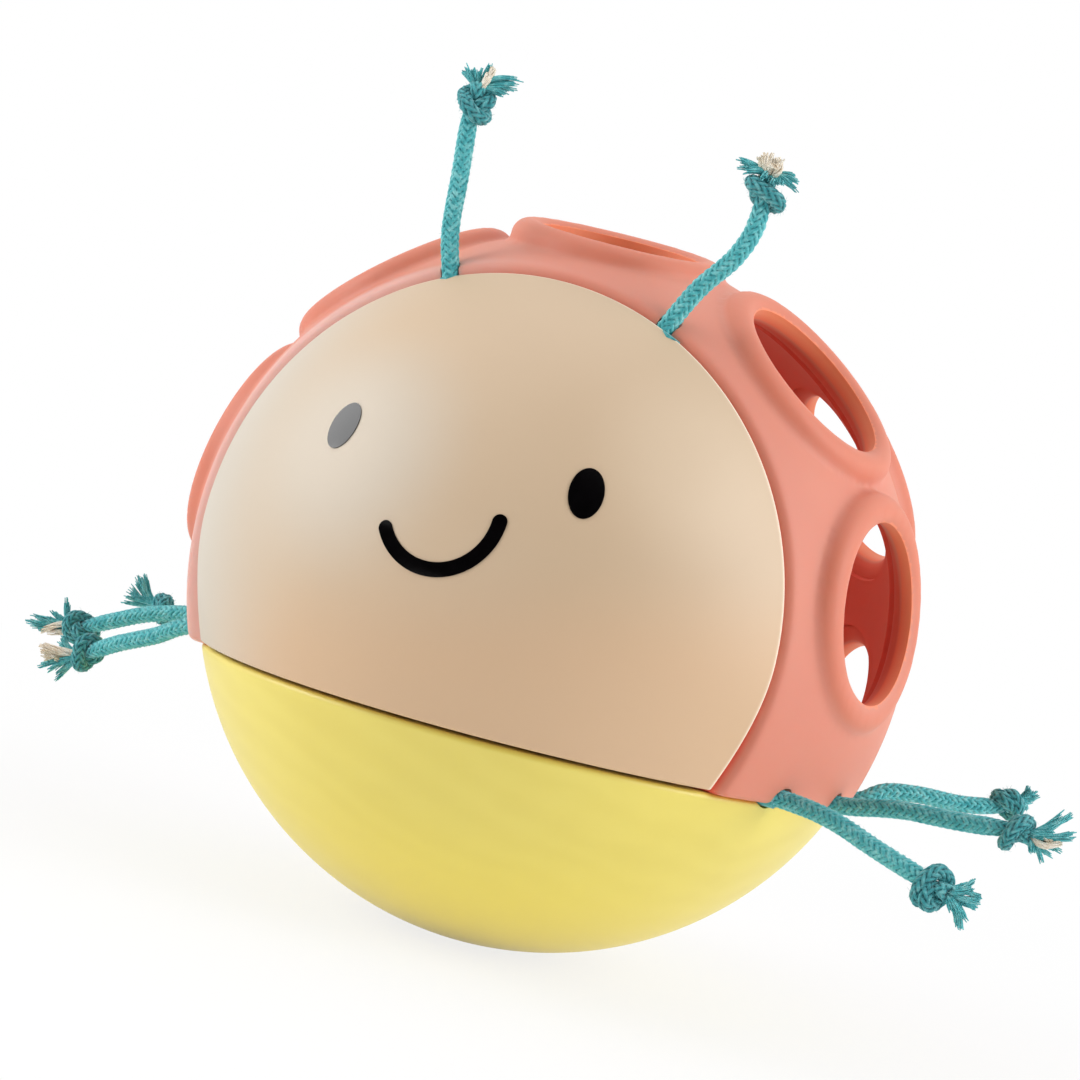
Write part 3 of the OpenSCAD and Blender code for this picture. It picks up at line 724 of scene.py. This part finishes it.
def rod(radius, depth, turn, at):
    """A plain rod, its middle at a point."""
    bm = bmesh.new()
    bmesh.ops.create_cone(bm, cap_ends=True, segments=40, radius1=radius, radius2=radius, depth=depth)
    bmesh.ops.rotate(bm, verts=bm.verts, matrix=turn)
    bmesh.ops.translate(bm, verts=bm.verts, vec=at)
    return piece_from_bmesh("rod", bm)


def lip_height(radius, drop):
    """How far out the middle line of a lip lies, along the axis of its hole."""
    return math.sqrt((SHELL_R - drop) ** 2 - (radius + LIP_IN) ** 2)


def hole_lean(tilt, swing):
    """How a finger hole leans about its own middle."""
    return Matrix.Rotation(math.radians(swing), 3, "Z") @ Matrix.Rotation(math.radians(tilt), 3, "Y")


def set_on_ball(bm, lean, turn, radius, drop, tilt, swing):
    """Brings a shape drawn about +Z to the place of a finger hole."""
    axis = hole_axis(lean, turn)
    bmesh.ops.rotate(bm, verts=bm.verts, matrix=stand_on(axis))
    bmesh.ops.rotate(bm, verts=bm.verts, cent=axis * lip_height(radius, drop), matrix=hole_lean(tilt, swing))
    bmesh.ops.recalc_face_normals(bm, faces=bm.faces)


def hole_plug(hole):
    """What a finger hole takes out: straight through the lip, flared where it meets the inside."""
    radius = hole[2]
    inside = math.sqrt(SHELL_IN_R**2 - radius**2)
    wide = radius + HOLE_ROUND
    profile = [(0.0, PLUG_FROM), (wide, PLUG_FROM)]
    profile += arc((wide, inside + HOLE_ROUND), HOLE_ROUND, 270, 180, 10)
    profile += [(radius, PLUG_TO), (0.0, PLUG_TO)]
    bm = bmesh.new()
    turned(bm, profile, UP, 128)
    set_on_ball(bm, *hole)
    return piece_from_bmesh("plug", bm)


def hole_lip(hole):
    """The raised bead round a finger hole."""
    radius, drop = hole[2:4]
    bm = bmesh.new()
    made = bmesh.ops.create_circle(bm, segments=40, radius=LIP_R)
    bmesh.ops.rotate(bm, verts=made["verts"], matrix=Matrix.Rotation(math.pi / 2, 3, "X"))
    bmesh.ops.translate(bm, verts=made["verts"], vec=(radius + LIP_IN, 0, lip_height(radius, drop)))
    bmesh.ops.spin(bm, geom=bm.verts[:] + bm.edges[:], cent=(0, 0, 0), axis=(0, 0, 1),
                   angle=2 * math.pi, steps=128, use_merge=True)
    set_on_ball(bm, *hole)
    return piece_from_bmesh("lip", bm)


def seam_flange():
    """The flat ring that the shell stands on."""
    low, top = SEAM_Z - FLANGE_LOW, SEAM_Z + FLANGE_TOP
    section = [(FLANGE_IN_R, low), (FLANGE_OUT_R, low), (FLANGE_OUT_R, top), (FLANGE_IN_R, top)]
    bm = bmesh.new()
    rows = [bm.verts.new((r, 0, z)) for r, z in section]
    edges = [bm.edges.new((rows[i], rows[(i + 1) % 4])) for i in range(4)]
    bmesh.ops.spin(bm, geom=rows + edges, cent=(0, 0, 0), axis=UP, angle=2 * math.pi,
                   steps=128, use_merge=True)
    bmesh.ops.recalc_face_normals(bm, faces=bm.faces)
    trimmed(bm)
    return piece_from_bmesh("flange", bm)


def mark_hole_walls(mesh):
    """Marks the points on the walls of the finger holes."""
    points = np.empty(len(mesh.vertices) * 3)
    mesh.vertices.foreach_get("co", points)
    points = (points.reshape(-1, 3) - np.array(CENTRE)) / MM
    deepest, slack = -20, 0.05
    inside = np.zeros(len(points))
    for lean, turn, radius, drop, tilt, swing in FINGER_HOLES:
        axis = hole_axis(lean, turn)
        from_middle = points - np.array(axis * lip_height(radius, drop))
        through = np.array(hole_lean(tilt, swing) @ axis)
        along = from_middle @ through
        off = np.linalg.norm(from_middle - along[:, None] * through, axis=1)
        inside[(along > deepest) & (off < radius + slack)] = 1.0
    mesh.attributes.new("hole_wall", "FLOAT", "POINT").data.foreach_set("value", inside)


def make_shell(finish):
    """Soft grip shell: a ball wall, lips and a flange melted into one skin and smoothed, then cut through."""
    wall = bmesh.new()
    aside = Matrix.Translation((WALL_SHIFT, 0, 0))
    bmesh.ops.create_icosphere(wall, subdivisions=7, radius=SHELL_R, matrix=aside)
    inner = bmesh.ops.create_icosphere(wall, subdivisions=6, radius=SHELL_IN_R)
    bmesh.ops.reverse_faces(wall, faces=list({f for v in inner["verts"] for f in v.link_faces}))
    trimmed(wall)
    shell = piece_from_bmesh("shell_blank", wall)
    combine(shell, seam_flange(), "UNION")
    for hole in FINGER_HOLES:
        combine(shell, hole_lip(hole), "UNION")
    melt = shell.modifiers.new("melt", "REMESH")
    melt.mode = "VOXEL"
    melt.voxel_size = MELT_STEP * MM
    mesh = settled_mesh(shell)
    bm = bmesh.new()
    bm.from_mesh(mesh)
    bpy.data.meshes.remove(mesh)
    for _ in range(SMOOTH_ROUNDS):
        bmesh.ops.smooth_vert(bm, verts=bm.verts, factor=0.5,
                              use_axis_x=True, use_axis_y=True, use_axis_z=True)
    shell = new_piece("soft_shell", mesh_from(bm, "soft_shell"))
    for hole in FINGER_HOLES:
        combine(shell, hole_plug(hole), "DIFFERENCE")
    for y in LEG_ROWS:
        for side in (-1, 1):
            notch = rod(LEG_NOTCH_R, LEG_NOTCH_LONG, ALONG_X, (side * LEG_NOTCH_X, y, LEG_Z))
            combine(shell, notch, "DIFFERENCE")
    for name in ("antenna_left", "antenna_right"):
        out = -Vector(CORDS[name]["inward"])
        notch = rod(ANTENNA_NOTCH_R, ANTENNA_NOTCH_LONG, stand_on(out), Vector(CORDS[name]["exit"]))
        combine(shell, notch, "DIFFERENCE")
    thin = shell.modifiers.new("thin", "DECIMATE")
    shell.data.calc_loop_triangles()
    thin.ratio = min(1.0, SHELL_TRIANGLES / len(shell.data.loop_triangles))
    mesh = settled_mesh(shell)
    reshade(mesh, SHELL_SHARP)
    mark_hole_walls(mesh)
    finish_piece(new_piece("soft_shell", mesh), "soft_shell", finish, "ball", "soft_coral", "grip_shell")


# Finishes

class Wiring:
    """Short ways to add nodes to a node tree."""

    def __init__(self, tree):
        self.nodes = tree.nodes
        self.links = tree.links

    def put(self, value, socket):
        """Links an output to a socket, or sets the socket to a plain value."""
        if hasattr(value, "links"):
            self.links.new(value, socket)
        else:
            socket.default_value = value

    def node(self, kind, **values):
        """A node, with values for its settings and its sockets."""
        made = self.nodes.new(kind)
        for key, value in values.items():
            if hasattr(made, key):
                setattr(made, key, value)
            else:
                self.put(value, made.inputs[key.replace("_", " ")])
        return made

    def maths(self, operation, first, second):
        made = self.node("ShaderNodeMath", operation=operation)
        self.put(first, made.inputs[0])
        self.put(second, made.inputs[1])
        return made.outputs[0]

    def measure(self, operation, where, other=(0, 0, 0)):
        """A length, distance or product of two places."""
        made = self.node("ShaderNodeVectorMath", operation=operation)
        self.put(where, made.inputs[0])
        self.put(other, made.inputs[1])
        return made.outputs["Value"]

    def split(self, where):
        return self.node("ShaderNodeSeparateXYZ", Vector=where).outputs

    def fade(self, value, start, end, low=0.0, high=1.0, kind="SMOOTHSTEP"):
        """Goes from low to high as a value goes from start to end."""
        made = self.node("ShaderNodeMapRange", interpolation_type=kind, Value=value,
                         From_Min=start, From_Max=end, To_Min=low, To_Max=high)
        return made.outputs["Result"]


class Finish(Wiring):
    """A material and short ways to add its nodes."""

    def __init__(self, name, roughness, **sockets):
        self.material = bpy.data.materials.new(name)
        self.material.use_nodes = True
        super().__init__(self.material.node_tree)
        self.shader = self.nodes["Principled BSDF"]
        self.wire(Roughness=roughness, **sockets)

    def wire(self, **sockets):
        """Sets or links the shader's own sockets."""
        for key, value in sockets.items():
            self.put(value, self.shader.inputs[key.replace("_", " ")])
        return self.material

    def place(self, scale=(1, 1, 1), turn=(0, 0, 0), shift=(0, 0, 0)):
        coords = self.node("ShaderNodeTexCoord").outputs["Object"]
        mapping = self.node("ShaderNodeMapping", Vector=coords, Scale=scale, Rotation=turn, Location=shift)
        return mapping.outputs["Vector"]

    def noise(self, where, scale, detail=3.0, rough=0.5):
        made = self.node("ShaderNodeTexNoise", Vector=where, Scale=scale, Detail=detail, Roughness=rough)
        return made.outputs["Fac"]

    def ramp(self, value, *stops):
        """Colours along a value, from (place, colour) stops."""
        made = self.node("ShaderNodeValToRGB", Fac=value)
        band = made.color_ramp
        while len(band.elements) < len(stops):
            band.elements.new(0.5)
        for element, (at, colour) in zip(band.elements, stops):
            element.position = at
            element.color = opaque(colour)
        return made.outputs["Color"]

    def spread(self, value, low, high):
        """A value from 0 to 1, spread from low to high."""
        return self.fade(value, 0.0, 1.0, low, high, "LINEAR")

    def bump(self, height, strength, distance, under=None):
        made = self.node("ShaderNodeBump", Strength=strength, Distance=distance, Height=height)
        if under is not None:
            self.put(under, made.inputs["Normal"])
        return made.outputs["Normal"]

    def mix(self, factor, below, above, blend="MIX"):
        """Mixes two colours, each an output or a plain colour."""
        made = self.node("ShaderNodeMix", data_type="RGBA", blend_type=blend)
        for name, kind, value in (("Factor", "VALUE", factor), ("A", "RGBA", below), ("B", "RGBA", above)):
            self.put(value, next(s for s in made.inputs if s.name == name and s.type == kind))
        return next(s for s in made.outputs if s.type == "RGBA")


def linear(r, g, b):
    """A display colour, 0 to 255, as linear light."""
    return tuple((c / 255 / 12.92) if c <= 10 else ((c / 255 + 0.055) / 1.055) ** 2.4 for c in (r, g, b))


def opaque(colour):
    return (*colour, 1.0)


def painted_wood():
    """Yellow paint over turned wood, whose rings and pores show faintly, with painted light from the floor
    that makes it brighter towards the bottom.
    """
    look = Finish("painted_wood", 0.4, Specular_IOR_Level=0.85, Sheen_Weight=0.1, Sheen_Roughness=0.4)
    where = look.place()
    boards = look.place(scale=(0.5, 1.0, 1.25), turn=(0.35, 0.3, 0.4), shift=(0.03, 0.02, 0.012))
    figure = look.node("ShaderNodeTexWave", wave_type="RINGS", rings_direction="Y", Vector=boards, Scale=62.0,
                       Distortion=7.0, Detail=3.0, Detail_Scale=1.2).outputs["Fac"]
    cloud = look.noise(where, scale=38.0)
    along_grain = look.place(scale=(40, 260, 260), turn=(0.1, 0.2, 0.3))
    pores = look.noise(along_grain, scale=6.0, detail=4.0, rough=0.6)
    tone = look.ramp(cloud, (0.3, linear(236, 217, 96)), (0.7, linear(242, 225, 106)))
    rings = look.ramp(figure, (0.0, linear(190, 164, 60)), (1.0, linear(244, 230, 132)))
    tone = look.mix(0.045, tone, rings)
    # Painted light: the base is brighter towards its bottom, standing in for light bounced up from the floor
    low = look.fade(look.split(where)["Z"], 24 * MM, 2 * MM)
    tone = look.mix(low, tone, opaque(linear(254, 233, 92)))
    streak = look.bump(figure, strength=0.03, distance=0.0003)
    grain = look.bump(pores, strength=0.08, distance=0.0001, under=streak)
    return look.wire(Base_Color=tone, Roughness=look.spread(cloud, 0.36, 0.46), Normal=grain)


# Painted highlights on the face, as soft pale spots: the middle and the reach of each in mm, and its colour
FACE_PAINTED_HIGHLIGHTS = (((-15, -46, 14), 21, (210, 198, 180)), ((28, -36, 23), 16, (224, 199, 168)))


def satin_face():
    """Satin moulded skin, with painted light: a painted warm bounce that makes it warmer below, a painted
    sheen that makes it paler to the left, painted highlight spots, and a painted highlight that makes the
    back rim pale.
    """
    look = Finish("satin_face", 0.5, Specular_IOR_Level=0.86)
    where = look.place()
    cloud = look.noise(where, scale=30.0, detail=2.0)
    peel = look.noise(where, scale=900.0, detail=2.0)
    speck = look.noise(where, scale=3200.0, detail=2.0)
    tone = look.ramp(cloud, (0.3, linear(212, 184, 151)), (0.7, linear(216, 189, 157)))
    # Painted warm bounce light from the yellow base: warmer towards the bottom of the face
    lower = look.measure("DOT_PRODUCT", look.place(shift=(0, 0, -CENTRE.z)), (0.25, 0, -0.97))
    tone = look.mix(look.fade(lower, -4 * MM, 11 * MM), tone, opaque(linear(218, 182, 144)))
    sides = look.split(where)
    # Painted sheen: paler towards the left of the face
    pale = look.fade(sides["X"], -13 * MM, -41 * MM)
    tone = look.mix(pale, tone, opaque(linear(206, 196, 180)))
    # Painted highlights: soft pale spots on the face
    for spot, reach, colour in FACE_PAINTED_HIGHLIGHTS:
        apart = look.measure("DISTANCE", where, CENTRE + Vector(spot) * MM)
        near = look.fade(apart, reach * MM, reach * 0.3 * MM, high=0.75)
        tone = look.mix(near, tone, opaque(linear(*colour)))
    # Painted highlight: a pale line along the back rim
    rim = look.fade(sides["Y"], (FACE_Y - 1.2) * MM, (FACE_Y - 0.7) * MM)
    tone = look.mix(rim, tone, opaque(linear(252, 240, 220)))
    skin = look.bump(peel, strength=0.06, distance=0.0001)
    skin = look.bump(speck, strength=0.05, distance=0.00004, under=skin)
    return look.wire(Base_Color=tone, Roughness=look.spread(cloud, 0.46, 0.54), Normal=skin)


def soft_coral():
    """Soft coral rubber with painted shade, redder and darker inside and deep in the hole walls, painted
    light, bright orange on the outer half of the hole walls, and a painted sheen that makes the left front
    edge paler; more orange on the lips.
    """
    look = Finish("soft_coral", 0.55, Specular_IOR_Level=0.65, Sheen_Weight=0.1, Sheen_Roughness=0.5,
                  Sheen_Tint=(1.0, 0.62, 0.52, 1.0), Subsurface_Weight=0.3, Subsurface_Scale=0.0016,
                  Subsurface_Radius=(1.0, 0.3, 0.18))
    where = look.place()
    cloud = look.noise(where, scale=55.0)
    grain = look.noise(where, scale=2200.0, rough=0.6)
    out = look.measure("LENGTH", look.place(shift=(0, 0, -CENTRE.z)))
    reach = look.fade(out, 0.0472, 0.0522, kind="LINEAR")
    # Painted shade: redder and darker towards the inside of the shell; the tops of the lips are more orange
    tone = look.ramp(reach, (0.0, linear(232, 62, 50)), (0.5, linear(226, 84, 60)),
                     (0.64, linear(222, 136, 113)), (0.86, linear(223, 141, 119)),
                     (1.0, linear(219, 126, 98)))
    mottle = look.ramp(cloud, (0.3, linear(214, 118, 96)), (0.7, linear(238, 152, 128)))
    tone = look.mix(0.16, tone, mottle)
    sides = look.split(where)
    # Painted sheen: paler towards the left front edge, next to the face
    edge = look.fade(sides["Y"], -24.4 * MM, -26.2 * MM)
    left = look.fade(sides["X"], 4 * MM, -34 * MM)
    tone = look.mix(look.maths("MULTIPLY", edge, left), tone, opaque(linear(225, 172, 160)))
    wall = look.node("ShaderNodeAttribute", attribute_name="hole_wall").outputs["Fac"]
    # Painted light and shade on the hole walls: deep red inside, bright orange on the outer half where light
    # falls
    wall_painted_light_and_shade = look.ramp(reach, (0.3, linear(236, 66, 46)), (0.85, linear(252, 146, 102)))
    tone = look.mix(wall, tone, wall_painted_light_and_shade)
    skin = look.bump(grain, strength=0.12, distance=0.00006)
    dull = look.fade(reach, 0.5, 0.8, 0.4, 0.0, "LINEAR")
    rough = look.maths("ADD", look.spread(cloud, 0.5, 0.62), dull)
    return look.wire(Base_Color=tone, Roughness=rough, Normal=skin)


def black_print():
    """Glossy black ink."""
    look = Finish("black_print", 0.14, Specular_IOR_Level=0.38)
    where = look.place()
    cloud = look.noise(where, scale=500.0)
    fleck = look.noise(where, scale=5200.0, detail=2.0, rough=0.6)
    tone = look.ramp(cloud, (0.3, (0.0008, 0.0005, 0.0008)), (0.7, (0.002, 0.0015, 0.002)))
    skin = look.bump(fleck, strength=0.12, distance=0.00003)
    return look.wire(Base_Color=tone, Roughness=look.spread(cloud, 0.07, 0.11), Normal=skin)


def yarn_finish(name, dark, middle, light, braided=False):
    """Flecked cotton yarn; a braid gets painted shade, darker in its crevices."""
    look = Finish(name, 0.85, Specular_IOR_Level=0.25, Sheen_Weight=0.3, Sheen_Roughness=0.45)
    where = look.place()
    fleck = look.noise(where, scale=1100.0, detail=4.0, rough=0.65)
    fibre = look.noise(where, scale=4600.0, rough=0.6)
    tone = look.ramp(fleck, (0.3, dark), (0.5, middle), (0.72, light))
    if braided:
        # Painted shade: the braid is darker in its crevices
        depth = look.node("ShaderNodeAttribute", attribute_name="depth").outputs["Fac"]
        crevice_painted_shade = look.ramp(depth, (0.0, (0.03, 0.09, 0.11)), (0.45, (0.52, 0.60, 0.62)), (0.85, (1, 1, 1)))
        tone = look.mix(1.0, tone, crevice_painted_shade, "MULTIPLY")
    skin = look.bump(fibre, strength=0.5, distance=0.00012)
    return look.wire(Base_Color=tone, Roughness=look.spread(fleck, 0.78, 0.95), Normal=skin)


def inner_plastic():
    """Plain moulded plastic of the pieces inside."""
    look = Finish("inner_plastic", 0.5)
    where = look.place()
    cloud = look.noise(where, scale=60.0)
    tone = look.ramp(cloud, (0.3, linear(205, 189, 165)), (0.7, linear(214, 199, 176)))
    skin = look.bump(look.noise(where, scale=1600.0), strength=0.1, distance=0.00008)
    return look.wire(Base_Color=tone, Roughness=look.spread(cloud, 0.45, 0.6), Normal=skin)


def bead_wood():
    """Plain wood with its bands."""
    look = Finish("bead_wood", 0.5)
    where = look.place(scale=(0.4, 1, 1))
    bands = look.node("ShaderNodeTexWave", wave_type="BANDS", Vector=where, Scale=160.0, Distortion=6.0,
                      Detail=3.0).outputs["Fac"]
    tone = look.ramp(bands, (0.0, linear(176, 128, 78)), (1.0, linear(214, 172, 118)))
    return look.wire(Base_Color=tone, Normal=look.bump(bands, strength=0.1, distance=0.0001))


def screw_steel():
    """Bright steel with fine scratches."""
    look = Finish("screw_steel", 0.3, Metallic=1.0)
    scratch = look.noise(look.place(scale=(900, 900, 60)), scale=3.0)
    tone = look.ramp(scratch, (0.3, (0.50, 0.51, 0.53)), (0.7, (0.60, 0.61, 0.63)))
    skin = look.bump(scratch, strength=0.08, distance=0.00005)
    return look.wire(Base_Color=tone, Roughness=look.spread(scratch, 0.24, 0.42), Normal=skin)


def dress_inner(finishes):
    """Better finishes on the solids that stay."""
    dressed = dict(
        inner=["chassis", "rattle_back"], steel=["base_screws", "capsule_screws"],
        bead=[f"bead_{i}" for i in range(1, 6)],
        held=["leg_run_front", "leg_run_middle", "leg_run_rear", "antenna_run"])
    for finish, nodes in dressed.items():
        for node in nodes:
            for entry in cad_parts[node].material_slots:
                entry.material = finishes[finish]


# Studio

ROOM_FILL = 0.81
ROOM_BEHIND_VIEWER = 0.02
# Soft lights: the way to each from the ball in the photograph's right, up and towards, how far, its size
# and its power
STUDIO_LIGHTS = [
    ("softbox_left", (-0.763, 0.640, 0.093), 0.62, (0.28, 0.28), 1.15),
    ("softbox_top_left", (-0.61, 0.61, 0.51), 0.75, (0.45, 0.45), 0.68),
    ("softbox_top", (0.0, 1.0, 0.1), 0.75, (0.5, 0.5), 0.63),
    ("softbox_right", (0.86, 0.30, 0.41), 0.75, (0.45, 0.45), 1.53),
    ("side_right", (0.95, 0.0, 0.30), 0.75, (0.35, 0.5), 1.26),
    ("side_left", (-0.93, 0.29, 0.24), 0.75, (0.35, 0.5), 0.78),
]


def light_panel(name, at, aim, size, power):
    """A rectangular soft light that faces a point."""
    data = bpy.data.lights.new(name, "AREA")
    data.shape = "RECTANGLE"
    data.size, data.size_y = size
    data.energy = power
    lamp = bpy.data.objects.new(name, data)
    bpy.context.scene.collection.objects.link(lamp)
    way = Vector(aim) - Vector(at)
    lamp.matrix_world = Matrix.Translation(at) @ way.to_track_quat("-Z", "Y").to_matrix().to_4x4()


def set_world():
    """A white background, a pale room round the object, and a dim room behind the viewer."""
    world = bpy.data.worlds.new("studio")
    bpy.context.scene.world = world
    world.use_nodes = True
    world.node_tree.nodes.clear()
    wires = Wiring(world.node_tree)
    rays = wires.node("ShaderNodeLightPath").outputs
    seen = wires.maths("MAXIMUM", rays["Is Camera Ray"], rays["Is Transmission Ray"])
    way = wires.split(wires.node("ShaderNodeTexCoord").outputs["Generated"])
    room = wires.fade(way["Y"], -0.75, -0.15, ROOM_BEHIND_VIEWER, 1.0)
    level = wires.maths("ADD", wires.maths("MULTIPLY", rays["Is Glossy Ray"], 1.0 - ROOM_FILL), ROOM_FILL)
    room = wires.maths("MULTIPLY", room, level)
    room = wires.maths("MULTIPLY", room, wires.maths("SUBTRACT", 1.0, seen))
    sky = wires.node("ShaderNodeBackground", Color=(1, 1, 1, 1), Strength=wires.maths("ADD", seen, room))
    wires.node("ShaderNodeOutputWorld", Surface=sky.outputs[0])


def set_floor():
    """A pale floor that is white to the eye and keeps the object's shadow near it."""
    bm = bmesh.new()
    bmesh.ops.create_grid(bm, x_segments=2, y_segments=2, size=6.0)
    floor = new_piece("floor", mesh_from(bm, "floor"))
    paper = Finish("floor_paper", 0.9, Base_Color=(0.92, 0.92, 0.92, 1), Specular_IOR_Level=0.1)
    rays = paper.node("ShaderNodeLightPath").outputs
    seen = paper.maths("MAXIMUM", rays["Is Transmission Ray"], rays["Is Glossy Ray"])
    seen = paper.maths("MAXIMUM", rays["Is Camera Ray"], seen)
    out = paper.measure("LENGTH", paper.node("ShaderNodeTexCoord").outputs["Object"])
    share = paper.maths("MULTIPLY", seen, paper.fade(out, 0.05, 0.28, 0.8, 1.0))
    both = paper.node("ShaderNodeMixShader", Fac=share)
    paper.put(paper.shader.outputs[0], both.inputs[1])
    paper.put(paper.node("ShaderNodeEmission").outputs[0], both.inputs[2])
    paper.put(both.outputs[0], paper.nodes["Material Output"].inputs["Surface"])
    floor.data.materials.append(paper.material)


def set_studio():
    """The room, the floor and the soft lights."""
    bpy.context.scene.view_settings.view_transform = "Standard"
    set_world()
    set_floor()
    across, upward, back = view_axes()
    for name, (right, up, near), far, size, power in STUDIO_LIGHTS:
        way = (across * right + upward * up + back * near).normalized()
        light_panel(name, CENTRE + way * far, CENTRE, size, power)


# Build

place_camera()
finishes = dict(
    cord=yarn_finish("cord_braid", linear(57, 159, 168), linear(95, 193, 198), linear(158, 224, 225), True),
    yarn=yarn_finish("cord_yarn", linear(54, 162, 170), linear(96, 194, 199), linear(162, 226, 227)),
    core=yarn_finish("cord_core", linear(228, 208, 178), linear(246, 236, 218), linear(252, 248, 238)),
    held=yarn_finish("cord_held", linear(48, 142, 150), linear(84, 178, 184), linear(140, 208, 210)),
    wood=painted_wood(), face=satin_face(), coral=soft_coral(), ink=black_print(),
    inner=inner_plastic(), bead=bead_wood(), steel=screw_steel())
for cord_name, cord_spec in CORDS.items():
    make_cord(cord_name, cord_spec, finishes)
make_base(finishes["wood"])
make_face(finishes["face"])
make_eye("eye_left", -19.9, 19.35, finishes["ink"])
make_eye("eye_right", 22.1, 18.4, finishes["ink"])
make_smile(finishes["ink"])
make_shell(finishes["coral"])
dress_inner(finishes)
set_studio()
